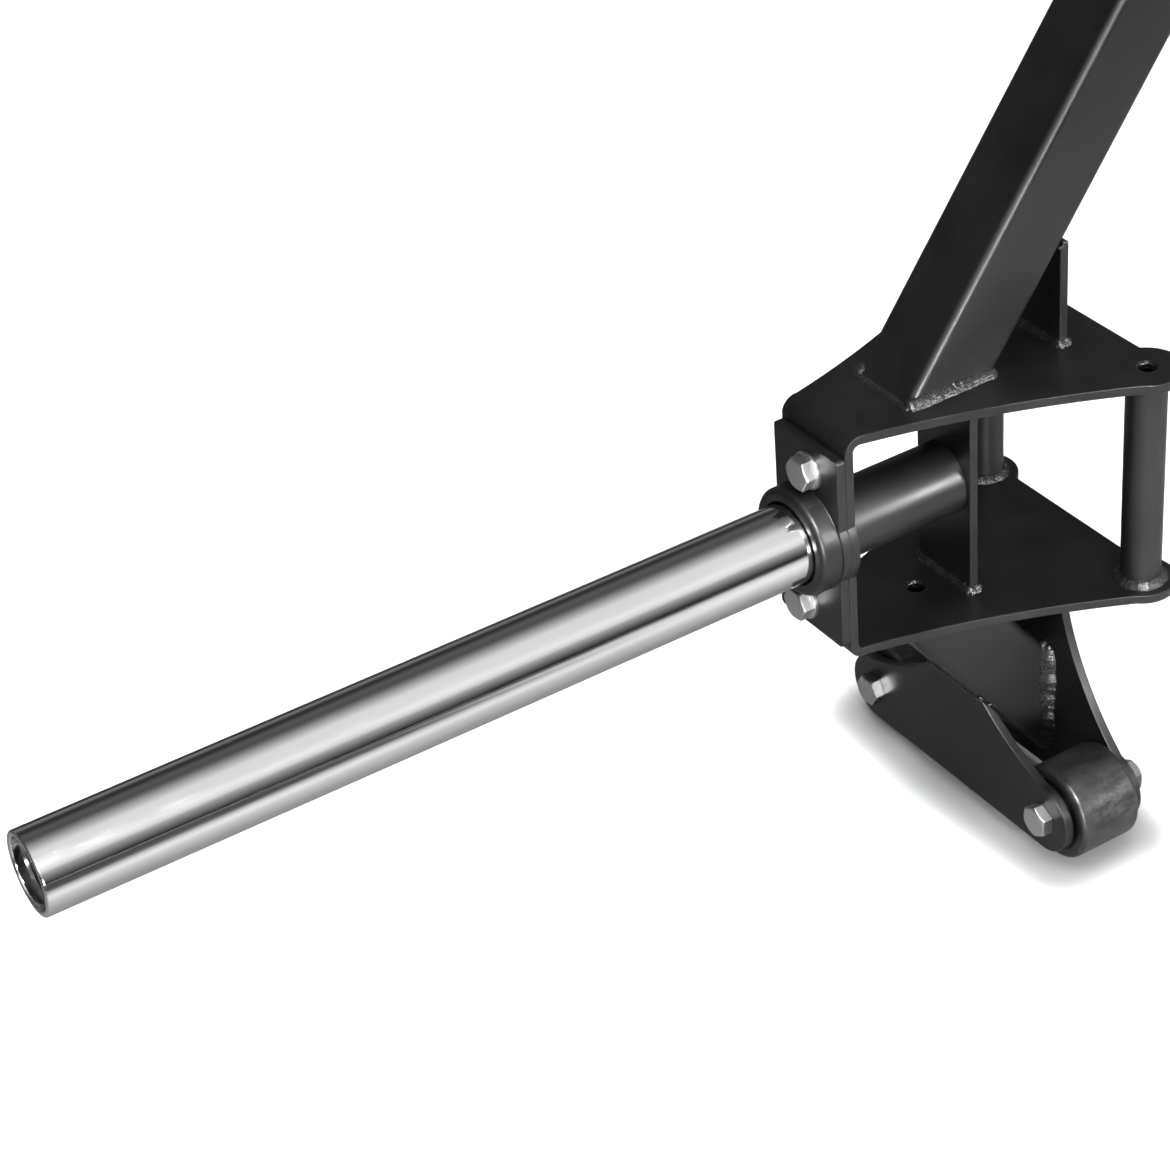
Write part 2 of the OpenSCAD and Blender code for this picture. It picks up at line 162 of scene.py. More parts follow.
def add_node(tree, kind, inputs=None, **settings):
    """A node with its settings and input values; an input may be another node's output."""
    made = tree.nodes.new("ShaderNode" + kind)
    for name, value in settings.items():
        setattr(made, name, value)
    for name, value in (inputs or {}).items():
        if isinstance(value, bpy.types.NodeSocket):
            tree.links.new(value, made.inputs[name])
        else:
            made.inputs[name].default_value = value
    return made


def math_node(tree, operation, a, b=0.0, clamp=False):
    return add_node(tree, "Math", {0: a, 1: b}, operation=operation, use_clamp=clamp).outputs[0]


def spread(tree, value, low, high, to_low=0.0, to_high=1.0):
    """Takes value from the range low to high into the range to_low to to_high, clamped."""
    return add_node(
        tree,
        "MapRange",
        {"Value": value, "From Min": low, "From Max": high, "To Min": to_low, "To Max": to_high},
        interpolation_type="SMOOTHSTEP",
    ).outputs["Result"]


def mix_colour(tree, factor, a, b):
    made = add_node(tree, "Mix", data_type="RGBA")
    for socket, value in ((made.inputs[0], factor), (made.inputs[6], a), (made.inputs[7], b)):
        if isinstance(value, bpy.types.NodeSocket):
            tree.links.new(value, socket)
        else:
            socket.default_value = value
    return made.outputs[2]


def new_group(name, inputs, outputs):
    """An empty node group with named sockets; returns the tree, its input node and its output node."""
    tree = bpy.data.node_groups.new(name, "ShaderNodeTree")
    for socket, (kind, value) in inputs.items():
        made = tree.interface.new_socket(socket, in_out="INPUT", socket_type="NodeSocket" + kind)
        if value is not None:
            made.default_value = value
    for socket, kind in outputs.items():
        tree.interface.new_socket(socket, in_out="OUTPUT", socket_type="NodeSocket" + kind)
    return tree, tree.nodes.new("NodeGroupInput"), tree.nodes.new("NodeGroupOutput")


def grey(value):
    return (value, value, value, 1.0)


def shade_of(colour, factor):
    """A lighter or darker shade of a colour, opaque."""
    return tuple(min(1.0, part * factor) for part in colour) + (1.0,)


def noise(tree, place, scale, detail=3.0, rough=0.5):
    return add_node(
        tree, "TexNoise", {"Vector": place, "Scale": scale, "Detail": detail, "Roughness": rough}
    ).outputs["Fac"]


def orange_peel_group():
    """Height of a sprayed or moulded skin: soft waves and fine grain, and a tone that follows them."""
    tree, given, out = new_group(
        "orange_peel",
        {"Place": ("Vector", None), "Wave size": ("Float", 0.003), "Grain size": ("Float", 0.0006)},
        {"Height": "Float", "Tone": "Float"},
    )
    place = given.outputs["Place"]
    waves = noise(tree, place, math_node(tree, "DIVIDE", 1.0, given.outputs["Wave size"]), 2.0)
    grain = noise(tree, place, math_node(tree, "DIVIDE", 1.0, given.outputs["Grain size"]), 1.0)
    broad = noise(tree, place, 14.0, 4.0, 0.6)
    height = math_node(tree, "ADD", waves, math_node(tree, "MULTIPLY", grain, 0.7))
    tree.links.new(height, out.inputs["Height"])
    tree.links.new(broad, out.inputs["Tone"])
    return tree


def edge_wear_group():
    """Mask of edges, broken up by noise, where a coat is thin or rubbed."""
    tree, given, out = new_group(
        "edge_wear",
        {"Place": ("Vector", None), "Width": ("Float", 0.001), "Amount": ("Float", 0.5)},
        {"Mask": "Float"},
    )
    round_normal = add_node(tree, "Bevel", {"Radius": given.outputs["Width"]}, samples=4)
    plain = add_node(tree, "NewGeometry")
    likeness = add_node(
        tree,
        "VectorMath",
        {0: round_normal.outputs[0], 1: plain.outputs["Normal"]},
        operation="DOT_PRODUCT",
    ).outputs["Value"]
    edge = spread(tree, likeness, 0.995, 0.9)
    patchy = spread(tree, noise(tree, given.outputs["Place"], 160.0, 4.0, 0.65), 0.42, 0.62)
    mask = math_node(tree, "MULTIPLY", edge, patchy)
    tree.links.new(
        math_node(tree, "MULTIPLY", mask, given.outputs["Amount"], clamp=True), out.inputs["Mask"]
    )
    return tree


def scratches_group():
    """Mask of fine scratches: stretched noise in two directions, thinned by a broad noise."""
    tree, given, out = new_group(
        "scratches",
        {"Place": ("Vector", None), "Size": ("Float", 0.02), "Amount": ("Float", 0.5)},
        {"Mask": "Float"},
    )
    scale = math_node(tree, "DIVIDE", 1.0, given.outputs["Size"])
    found = None
    for turn, stretch in (((0.3, 0.2, 0.5), (0.35, 9.0, 9.0)), ((1.1, 0.4, -0.7), (8.0, 0.4, 8.0))):
        mapped = add_node(
            tree, "Mapping", {"Vector": given.outputs["Place"], "Rotation": turn, "Scale": stretch}
        ).outputs[0]
        lines = noise(tree, mapped, scale, 3.0, 0.6)
        thin = spread(tree, lines, 0.66, 0.70)
        found = thin if found is None else math_node(tree, "MAXIMUM", found, thin)
    patches = spread(tree, noise(tree, given.outputs["Place"], 22.0, 2.0), 0.45, 0.65)
    mask = math_node(tree, "MULTIPLY", math_node(tree, "MULTIPLY", found, patches), given.outputs["Amount"])
    tree.links.new(mask, out.inputs["Mask"])
    return tree


GROUPS = {
    "orange_peel": orange_peel_group(),
    "edge_wear": edge_wear_group(),
    "scratches": scratches_group(),
}


def place_group(tree, name, place, **values):
    made = tree.nodes.new("ShaderNodeGroup")
    made.node_tree = GROUPS[name]
    tree.links.new(place, made.inputs["Place"])
    for socket, value in values.items():
        made.inputs[socket.replace("_", " ").capitalize()].default_value = value
    return made.outputs


def new_material(name):
    """A new material; returns it, its tree, its Principled shader and the object coordinates."""
    made = bpy.data.materials.new(name)
    made.use_nodes = True
    tree = made.node_tree
    shader = tree.nodes["Principled BSDF"]
    place = add_node(tree, "TexCoord").outputs["Object"]
    return made, tree, shader, place


def bump(tree, shader, height, strength, distance):
    made = add_node(tree, "Bump", {"Height": height, "Strength": strength, "Distance": distance})
    tree.links.new(made.outputs[0], shader.inputs["Normal"])


def powder_coat():
    """Satin black powder coat: orange peel, uneven gloss, thin edges and a few fine scratches."""
    tone = 0.006
    rough = 0.36
    made, tree, shader, place = new_material("satin_powder_coat")
    peel = place_group(tree, "orange_peel", place, wave_size=0.0028, grain_size=0.0007)
    edge = place_group(tree, "edge_wear", place, width=0.0011, amount=0.5)
    scratch = place_group(tree, "scratches", place, size=0.02, amount=0.22)
    base = mix_colour(tree, spread(tree, peel["Tone"], 0.35, 0.65), grey(tone * 0.8), grey(tone * 1.25))
    base = mix_colour(tree, edge["Mask"], base, grey(tone * 4.0))
    base = mix_colour(tree, scratch["Mask"], base, grey(tone * 3.0))
    tree.links.new(base, shader.inputs["Base Color"])
    gloss = spread(tree, peel["Tone"], 0.3, 0.7, rough - 0.05, rough + 0.06)
    gloss = math_node(tree, "ADD", gloss, math_node(tree, "MULTIPLY", scratch["Mask"], 0.15))
    tree.links.new(gloss, shader.inputs["Roughness"])
    shader.inputs["IOR"].default_value = 1.5
    bump(tree, shader, peel["Height"], 0.6, 0.00006)
    return made


def coated_weld():
    """The same coat over a weld: it follows crust and spatter, so that its gloss breaks up into glints."""
    made, tree, shader, place = new_material("coated_weld")
    peel = place_group(tree, "orange_peel", place, wave_size=0.0016, grain_size=0.0006)
    lying = add_node(tree, "Mapping", {"Vector": place, "Scale": (0.7, 1.0, 2.2)}).outputs[0]
    crust = noise(tree, lying, 480.0, 3.0, 0.6)
    base = mix_colour(tree, spread(tree, peel["Tone"], 0.35, 0.65), grey(0.010), grey(0.016))
    tree.links.new(base, shader.inputs["Base Color"])
    tree.links.new(spread(tree, crust, 0.35, 0.65, 0.28, 0.16), shader.inputs["Roughness"])
    shader.inputs["IOR"].default_value = 1.5
    bump(tree, shader, crust, 0.8, 0.0005)
    return made


def chrome_plate():
    """Hard chrome on a ground tube: bright, with fine marks along it and faint wipes."""
    made, tree, shader, place = new_material("hard_chrome")
    along = add_node(tree, "Mapping", {"Vector": place, "Scale": (0.12, 1.0, 1.0)}).outputs[0]
    streaks = noise(tree, along, 260.0, 3.0, 0.6)
    wipes = noise(tree, along, 30.0, 3.0, 0.6)
    scratch = place_group(tree, "scratches", place, size=0.03, amount=0.35)
    tone = mix_colour(tree, spread(tree, wipes, 0.3, 0.7), grey(0.80), grey(0.88))
    tree.links.new(tone, shader.inputs["Base Color"])
    gloss = spread(tree, streaks, 0.3, 0.75, 0.07, 0.13)
    gloss = math_node(tree, "ADD", gloss, math_node(tree, "MULTIPLY", scratch["Mask"], 0.10))
    tree.links.new(gloss, shader.inputs["Roughness"])
    shader.inputs["Metallic"].default_value = 1.0
    bump(tree, shader, streaks, 0.4, 0.00003)
    return made


def bare_metal(name, colour, rough):
    """Turned, plated or sintered metal: fine grain, smudged gloss and brighter edges."""
    made, tree, shader, place = new_material(name)
    peel = place_group(tree, "orange_peel", place, wave_size=0.004, grain_size=0.0009)
    edge = place_group(tree, "edge_wear", place, width=0.0006, amount=0.6)
    cloudy = spread(tree, peel["Tone"], 0.3, 0.7)
    base = mix_colour(tree, cloudy, shade_of(colour, 0.82), shade_of(colour, 1.1))
    base = mix_colour(tree, edge["Mask"], base, shade_of(colour, 1.3))
    tree.links.new(base, shader.inputs["Base Color"])
    gloss = spread(tree, peel["Tone"], 0.3, 0.7, rough - 0.06, rough + 0.08)
    tree.links.new(gloss, shader.inputs["Roughness"])
    shader.inputs["Metallic"].default_value = 1.0
    bump(tree, shader, peel["Height"], 0.5, 0.00003)
    return made


def worn_roller():
    """Steel roller that the floor has rubbed bare: patches of black coat, scrapes and bright edges."""
    made, tree, shader, place = new_material("worn_roller_steel")
    peel = place_group(tree, "orange_peel", place, wave_size=0.0035, grain_size=0.0008)
    edge = place_group(tree, "edge_wear", place, width=0.002, amount=0.8)
    scrape = place_group(tree, "scratches", place, size=0.012, amount=0.5)
    round_it = add_node(tree, "Mapping", {"Vector": place, "Scale": (0.6, 1.0, 1.0)}).outputs[0]
    coat = spread(tree, noise(tree, round_it, 95.0, 8.0, 0.78), 0.43, 0.58)
    bare = math_node(tree, "SUBTRACT", 1.0, coat)
    bare = math_node(tree, "MAXIMUM", math_node(tree, "MULTIPLY", bare, 0.85), edge["Mask"])
    bare = math_node(tree, "MAXIMUM", bare, scrape["Mask"])
    steel = mix_colour(tree, spread(tree, peel["Tone"], 0.35, 0.65), grey(0.05), grey(0.095))
    base = mix_colour(tree, bare, grey(0.006), steel)
    tree.links.new(base, shader.inputs["Base Color"])
    tree.links.new(bare, shader.inputs["Metallic"])
    tree.links.new(spread(tree, peel["Tone"], 0.3, 0.7, 0.28, 0.40), shader.inputs["Roughness"])
    height = math_node(tree, "ADD", peel["Height"], math_node(tree, "MULTIPLY", coat, 0.8))
    bump(tree, shader, height, 0.6, 0.00005)
    return made


def moulded_black():
    """Moulded black end plug with a fine spark-eroded skin."""
    made, tree, shader, place = new_material("moulded_black")
    peel = place_group(tree, "orange_peel", place, wave_size=0.0012, grain_size=0.0004)
    base = mix_colour(tree, spread(tree, peel["Tone"], 0.3, 0.7), grey(0.012), grey(0.02))
    tree.links.new(base, shader.inputs["Base Color"])
    tree.links.new(spread(tree, peel["Tone"], 0.3, 0.7, 0.45, 0.6), shader.inputs["Roughness"])
    bump(tree, shader, peel["Height"], 0.6, 0.00005)
    return made


FINISHES = {
    "frame_black": powder_coat(),
    "bead": coated_weld(),
    "sleeve_chrome": chrome_plate(),
    "zinc_steel": bare_metal("bright_zinc", (0.58, 0.58, 0.59), 0.30),
    "dull_zinc": bare_metal("dull_zinc", (0.20, 0.20, 0.20), 0.42),
    "turned_steel": bare_metal("turned_steel", (0.42, 0.42, 0.43), 0.33),
    "bronze": bare_metal("sintered_bronze", (0.50, 0.34, 0.16), 0.42),
    "roller_steel": worn_roller(),
    "plug_black": moulded_black(),
}


def finish_of(name):
    """The finish of a CAD node, by what the piece is."""
    if name.startswith("sleeve_plug"):
        return "plug_black"
    if name.startswith("sleeve_bushes") or name == "thrust_washers":
        return "bronze"
    if name in ("sleeve_left", "sleeve_right"):
        return "sleeve_chrome"
    if "roller_" in name and not name.endswith("spacers"):
        return "roller_steel"
    if name in ("mount_nuts", "axle_nuts", "axle_washers"):
        return "dull_zinc"
    if name in ("mount_bolts", "mount_washers", "axle_bolts"):
        return "zinc_steel"
    if name in ("spindle_left", "spindle_right", "retaining_rings", "roller_spacers"):
        return "turned_steel"
    return "frame_black"


# Width of the softened edges by finish, in millimetres
SOFT_EDGE = {
    "frame_black": 0.7,
    "zinc_steel": 0.35,
    "dull_zinc": 0.35,
    "turned_steel": 0.3,
    "roller_steel": 0.4,
}
# Corners closer than this are merged, in metres
SAME_PLACE = 0.00001
# Faces that meet at less than FLAT_ANGLE become one, and edges sharper than SHARP_ANGLE are softened
FLAT_ANGLE = math.radians(0.6)
SHARP_ANGLE = math.radians(35)


def dress_node(name, node):
    """Gives a CAD node its finish and softened edges."""
    finish = finish_of(name)
    node.data.materials.clear()
    node.data.materials.append(FINISHES[finish])
    merge = node.modifiers.new("merge", "WELD")
    merge.merge_threshold = SAME_PLACE
    width = SOFT_EDGE.get(finish)
    if width:
        flat = node.modifiers.new("flat", "DECIMATE")
        flat.decimate_type = "DISSOLVE"
        flat.angle_limit = FLAT_ANGLE
        soft = node.modifiers.new("soft_edge", "BEVEL")
        soft.width = width * MM
        soft.segments = 2
        soft.limit_method = "ANGLE"
        soft.angle_limit = SHARP_ANGLE
        soft.use_clamp_overlap = True
    smooth = node.modifiers.new("even_shading", "WEIGHTED_NORMAL")
    smooth.keep_sharp = True


for name, node in nodes.items():
    dress_node(name, node)


# Weld beads


def model_ripple():
    """One ripple of a weld: a small ball, pushed in on the side it was laid from and drawn out ahead."""
    deselect()
    bpy.ops.mesh.primitive_uv_sphere_add(segments=8, ring_count=6, radius=1.0, location=(0.0, 0.0, 0.0))
    ripple = bpy.context.object
    ripple.name = "ripple"
    for corner in ripple.data.vertices:
        corner.select = corner.co.x < -0.5
    for part in list(ripple.data.edges) + list(ripple.data.polygons):
        part.select = False
    bpy.ops.object.mode_set(mode="EDIT")
    bpy.ops.mesh.select_mode(type="VERT")
    bpy.ops.transform.resize(value=(0.6, 1.0, 1.0), center_override=(0.0, 0.0, 0.0))
    bpy.ops.mesh.select_all(action="SELECT")
    bpy.ops.transform.resize(value=(1.15, 1.0, 1.0), center_override=(0.0, 0.0, 0.0))
    bpy.ops.object.mode_set(mode="OBJECT")
    return ripple


def straight(start, end, out, taper=0.0, restarts=()):
    """Places along a straight seam: point, direction along it, direction out of the corner and size.

    taper is the length of each end that grows thin, in millimetres; the bead swells at each of restarts,
    where the welder stopped and began again, given as shares of its length."""
    start, end, out = Vector(start), Vector(end), Vector(out).normalized()
    along = (end - start).normalized()
    length = (end - start).length
    count = max(1, round(length / RIPPLE))
    places = []
    for step in range(count + 1):
        share = step / count
        size = 1.0
        from_end = min(share, 1.0 - share) * length
        if from_end < taper:
            size = THIN_END + (1.0 - THIN_END) * math.sqrt(1.0 - (1.0 - from_end / taper) ** 2)
        for restart in restarts:
            size += SWELL * max(0.0, 1.0 - abs(share - restart) * length / SWELL_REACH)
        places.append((start.lerp(end, share), along, out, size))
    return places


def circle(centre, axis, radius, spread_out=1.0):
    """Places round a circular seam on a face whose normal is axis.

    The bead stands spread_out away from the axis for 1 along it, or towards the axis if it is negative."""
    axis = Vector(axis)
    first = axis.orthogonal().normalized()
    second = axis.cross(first)
    count = round(2 * math.pi * radius / RIPPLE)
    places = []
    for step in range(count):
        turn = 2 * math.pi * step / count
        away = first * math.cos(turn) + second * math.sin(turn)
        along = second * math.cos(turn) - first * math.sin(turn)
        places.append((Vector(centre) + away * radius, along, (away * spread_out + axis).normalized(), 1.0))
    return places


def plate_foot(x0, x1, half_y, z, up, out_low=None, out_high=None):
    """The seam round the foot of a plate or tube that stands on a level face."""
    low = out_low or (-1.0, 0.0, up)
    high = out_high or (1.0, 0.0, up)
    return (
        straight((x0, half_y, z), (x0, -half_y, z), low)
        + straight((x0, -half_y, z), (x1, -half_y, z), (0.0, -1.0, up))
        + straight((x1, -half_y, z), (x1, half_y, z), high)
        + straight((x1, half_y, z), (x0, half_y, z), (0.0, 1.0, up))
    )


def upright_sides():
    """The heavy beads at the front and rear of the upright's foot."""
    half = TUBE_HALF / math.cos(UPRIGHT_LEAN)
    low, high = UPRIGHT_X - half, UPRIGHT_X + half
    places = []
    for y, out in ((-TUBE_HALF, (0.0, -1.0, 1.0)), (TUBE_HALF, (0.0, 1.0, 1.0))):
        places += straight((low, y, ROOF_OUT), (high, y, ROOF_OUT), out, 3.0)
    return places


def upright_ends():
    """The fine beads at the tube's inner and outer face."""
    half = TUBE_HALF / math.cos(UPRIGHT_LEAN)
    c, s = math.cos(UPRIGHT_LEAN), math.sin(UPRIGHT_LEAN)
    places = []
    for x, out in ((UPRIGHT_X - half, (-c, 0.0, 1.0 - s)), (UPRIGHT_X + half, (c, 0.0, 1.0 + s))):
        places += straight((x, -TUBE_HALF, ROOF_OUT), (x, TUBE_HALF, ROOF_OUT), out)
    return places


def gusset_foot():
    return plate_foot(GUSSET_X, GUSSET_X + PLATE, TUBE_HALF, ROOF_OUT, 1.0)


def gusset_top():
    """Both sides of the gusset's bevelled top, which lies against the leaning tube."""
    face_x = UPRIGHT_X - TUBE_HALF / math.cos(UPRIGHT_LEAN)
    top = ROOF_OUT + (face_x - GUSSET_X - PLATE) / math.tan(UPRIGHT_LEAN)
    c, s = math.cos(UPRIGHT_LEAN), math.sin(UPRIGHT_LEAN)
    high = GUSSET_X + PLATE
    low, above = high - GUSSET_BEVEL, top + GUSSET_BEVEL
    return straight((high, -TUBE_HALF, top), (high, TUBE_HALF, top), (1.0 - c, 0.0, -s)) + straight(
        (low, -TUBE_HALF, above), (low, TUBE_HALF, above), (-1.0 - c, 0.0, 1.0 - s)
    )


def inner_plate_seams():
    high = INNER_PLATE_X + PLATE
    return plate_foot(INNER_PLATE_X, high, TUBE_HALF, FLOOR_IN, 1.0) + plate_foot(
        INNER_PLATE_X, high, TUBE_HALF, ROOF_IN, -1.0
    )


def handle_feet():
    places = []
    for y in (-HANDLE_Y, HANDLE_Y):
        places += circle((HANDLE_X, y, FLOOR_IN), (0.0, 0.0, 1.0), HANDLE_R)
    return places


def handle_heads():
    places = []
    for y in (-HANDLE_Y, HANDLE_Y):
        places += circle((HANDLE_X, y, ROOF_IN), (0.0, 0.0, -1.0), HANDLE_R)
    return places


def socket_seams():
    """The socket's ring against the web; at the inner plate it is welded from the far side."""
    return circle((WEB_X - PLATE, 0.0, AXIS_Z), (-1.0, 0.0, 0.0), SOCKET_R)


def foot_plate_seams():
    """Top of the inner foot plate under the flange, and both sides of the outer plate's bevelled top."""
    high = INNER_FOOT_X + PLATE
    places = plate_foot(INNER_FOOT_X, high, INNER_FOOT_HALF, FLOOR_OUT, -1.0)
    c, s = math.cos(STRUT_LEAN), math.sin(STRUT_LEAN)
    low_x = STRUT_X + TUBE_HALF / c
    for x, out in ((OUTER_FOOT_X, (c - 1.0, 0.0, -s)), (OUTER_FOOT_X + PLATE, (c + 1.0, 0.0, -s))):
        z = FLOOR_OUT - (low_x - x) / math.tan(STRUT_LEAN)
        places += straight((x, -TUBE_HALF, z), (x, TUBE_HALF, z), out)
    return places


def strut_head():
    half = TUBE_HALF / math.cos(STRUT_LEAN)
    c, s = math.cos(STRUT_LEAN), math.sin(STRUT_LEAN)
    return plate_foot(
        STRUT_X - half, STRUT_X + half, TUBE_HALF, FLOOR_OUT, -1.0, (-c, 0.0, s - 1.0), (c, 0.0, -s - 1.0)
    )


def strut_foot():
    """The strut's lower end against the inner foot plate: two upright beads and one above."""
    x = INNER_FOOT_X + PLATE
    middle = FLOOR_OUT - (STRUT_X - x) / math.tan(STRUT_LEAN)
    half = TUBE_HALF / math.sin(STRUT_LEAN)
    c, s = math.cos(STRUT_LEAN), math.sin(STRUT_LEAN)
    top, bottom = middle + half + STRUT_RISE, middle - half + STRUT_STOP
    return (
        straight((x, -TUBE_HALF, top), (x, -TUBE_HALF, bottom), (1.0, -1.0, 0.0), 7.0, (0.3, 0.76))
        + straight((x, TUBE_HALF, top), (x, TUBE_HALF, bottom), (1.0, 1.0, 0.0), 7.0, (0.4, 0.7))
        + straight((x, -TUBE_HALF, middle + half), (x, TUBE_HALF, middle + half), (1.0 - c, 0.0, s), 5.0)
    )


def mitre_seam():
    """The joint of upright and crossbar: a low bead on three sides of the tube, ground flush on top."""
    corner_x = UPRIGHT_X - (CROSS_Z - ROOF_OUT) * math.tan(UPRIGHT_LEAN)
    turn = (math.pi / 2 - UPRIGHT_LEAN) / 2
    middle = Vector((corner_x, 0.0, CROSS_Z))
    to_top = Vector((math.sin(turn), 0.0, math.cos(turn)))
    face = TUBE_HALF - CORNER_DEPTH
    half = to_top * (face / math.cos(turn))
    near, far = Vector((0.0, -face, 0.0)), Vector((0.0, face, 0.0))
    ground = half * CORNER_TOP
    return (
        straight(middle - half + near, middle + ground + near, (0.0, -1.0, 0.0))
        + straight(middle - half + far, middle + ground + far, (0.0, 1.0, 0.0))
        + straight(middle - half + near, middle - half + far, -to_top)
    )


def hole_lips():
    """The rough lip that the cutter left round the holes above and below the handles."""
    places = []
    for z in (ROOF_OUT - 2.0, ROOF_OUT - 4.2, FLOOR_OUT + 2.0):
        for y in (-HANDLE_Y, HANDLE_Y):
            places += circle((HANDLE_X, y, z), (0.0, 0.0, 1.0), VENT_R + LIP_DEPTH, LIP_LEAN)
    for z in (FLOOR_IN - 2.0, FLOOR_IN - 4.0):
        places += circle((STRUT_X, 0.0, z), (0.0, 0.0, 1.0), VENT_R + LIP_DEPTH, LIP_LEAN)
    return places


# Seams: places, then how far the bead runs up each face and how far it stands out, in millimetres
SEAMS = {
    "handle_feet": (handle_feet, 4.6, 4.0),
    "handle_heads": (handle_heads, 3.4, 2.8),
    "inner_plate": (inner_plate_seams, 3.8, 3.2),
    "socket": (socket_seams, 4.6, 3.8),
    "upright_sides": (upright_sides, 5.4, 4.4),
    "upright_ends": (upright_ends, 2.4, 1.9),
    "gusset_foot": (gusset_foot, 3.8, 3.2),
    "gusset_top": (gusset_top, 1.8, 1.5),
    "foot_plates": (foot_plate_seams, 2.4, 2.0),
    "strut_head": (strut_head, 4.2, 3.5),
    "strut_foot": (strut_foot, 7.2, 5.6),
    "frame_corner": (mitre_seam, 3.4, 1.6),
    "hole_lips": (hole_lips, 1.2, 0.8),
}

SPATTER = bpy.data.textures.new("spatter", "CLOUDS")
SPATTER.noise_scale = 0.0034
SPATTER.noise_depth = 2

ripple = model_ripple()


def lay_bead(name, places, leg, height, side, seed):
    """Lays one ripple at each place, melts them into one bead and roughens it."""
    chance = random.Random(seed)
    drift = 0.0
    laid = []
    for point, along, out, full in places:
        point, along, out = point.copy(), along.copy(), out.copy()
        for vector in (point, along, out):
            vector.x *= side
        across = out.cross(along).normalized()
        drift = DRIFT_KEPT * drift + chance.uniform(-DRIFT, DRIFT)
        size = full * (1.0 + drift + chance.uniform(-UNEVEN, UNEVEN))
        lean = chance.uniform(-OFF_SEAM, OFF_SEAM)
        ahead = along * BALL_ALONG * RIPPLE
        axes = Matrix((ahead, across * (leg * BALL_ACROSS * size), out * (height * size))).transposed()
        copy = ripple.copy()
        copy.data = ripple.data.copy()
        spot = Matrix.Translation(point + across * lean)
        copy.matrix_world = Matrix.Scale(MM, 4) @ spot @ axes.to_4x4()
        bpy.context.scene.collection.objects.link(copy)
        laid.append(copy)
    deselect()
    for copy in laid:
        copy.select_set(True)
    bead = laid[0]
    bpy.context.view_layer.objects.active = bead
    bpy.ops.object.join()
    bpy.ops.object.transform_apply(location=True, rotation=True, scale=True)
    bead.name = name
    melt = bead.modifiers.new("melt", "REMESH")
    melt.mode = "VOXEL"
    melt.voxel_size = VOXEL * MM * (1.0 if leg > FINE_LEG else FINE_SHARE)
    melt.use_smooth_shade = True
    rough = bead.modifiers.new("rough", "DISPLACE")
    rough.texture = SPATTER
    rough.texture_coords = "LOCAL"
    rough.strength = min(CRUST_MOST, CRUST_SHARE * leg) * MM
    rough.mid_level = 0.5
    apply_all(bead)
    bead.data.materials.clear()
    bead.data.materials.append(FINISHES["bead"])
    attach(bead, "frame")


for side_name, side in SIDES.items():
    for number, (seam_name, (find_places, leg, height)) in enumerate(SEAMS.items()):
        lay_bead(f"weld_{seam_name}_{side_name}", find_places(), leg, height, side, FIRST_SEED + number)
bpy.data.objects.remove(ripple)


# Camera, light and floor


def make_camera():
    camera = bpy.data.objects.new("camera", bpy.data.cameras.new("camera"))
    bpy.context.scene.collection.objects.link(camera)
    camera.data.lens = CAMERA_LENS
    camera.data.sensor_width = 36.0
    camera.data.clip_end = 100.0
    az, down = math.radians(CAMERA_AZIMUTH), math.radians(CAMERA_DOWN)
    ahead = Vector((math.sin(az) * math.cos(down), math.cos(az) * math.cos(down), -math.sin(down)))
    turn = ahead.to_track_quat("-Z", "Y").to_matrix()
    roll = Matrix.Rotation(math.radians(CAMERA_ROLL), 3, ahead)
    camera.matrix_world = Matrix.Translation(CAMERA_PLACE) @ (roll @ turn).to_4x4()
    bpy.context.scene.camera = camera


def level_ramp(tree, share, levels):
    """A ramp of greys from (share, level) pairs."""
    ramp = add_node(tree, "ValToRGB", {"Fac": share})
    stops = ramp.color_ramp.elements
    stops.remove(stops[-1])
    stops[0].position = levels[0][0]
    stops[0].color = grey(levels[0][1])
    for position, level in levels[1:]:
        stop = stops.new(position)
        stop.color = grey(level)
    return ramp.outputs["Color"]


# Length of floor that the painted tones below cover, in metres
FLOOR_SPAN = 4.0
# Distances from the bar's middle between which the painted tones of the feet give way to those of the
# sleeves
SLEEVE_FROM, SLEEVE_TO = 0.32, 0.50
# Middle of one side of the bar, and the distances from it between which the floor, as the bar mirrors it,
# is painted dark
SIDE_MIDDLE = 0.55
DARK_FROM, DARK_TO = 0.45, 1.1
PAINTED_FAR_DARK = 0.06


def painted_floor_stop(y, level):
    """A stop of the floor's ramp of painted light: a place from front to rear in metres, and its painted
    brightness.
    """
    return y / FLOOR_SPAN + 0.5, level


# The floor as the bar mirrors it: painted light and shade from front to rear, in metres; bright in front of
# the bar, a painted shade under it and dark far off
FLOOR_PAINTED_LIGHT = (
    painted_floor_stop(-2.0, 0.03), painted_floor_stop(-1.25, 0.05), painted_floor_stop(-0.60, 0.48), painted_floor_stop(-0.40, 0.57),
    painted_floor_stop(-0.25, 0.48), painted_floor_stop(-0.03, 0.27), painted_floor_stop(0.10, 0.28), painted_floor_stop(0.28, 0.32),
    painted_floor_stop(0.45, 0.14), painted_floor_stop(1.40, 0.05),
)
# The same painted light and shade under the sleeves
SLEEVE_FLOOR_PAINTED_LIGHT = (
    painted_floor_stop(-2.0, 0.01), painted_floor_stop(-0.80, 0.04), painted_floor_stop(-0.60, 0.20), painted_floor_stop(-0.45, 0.43),
    painted_floor_stop(-0.33, 0.54), painted_floor_stop(-0.20, 0.38), painted_floor_stop(-0.10, 0.30), painted_floor_stop(-0.03, 0.25),
    painted_floor_stop(0.10, 0.20), painted_floor_stop(0.28, 0.18), painted_floor_stop(0.45, 0.09), painted_floor_stop(1.40, 0.03),
)


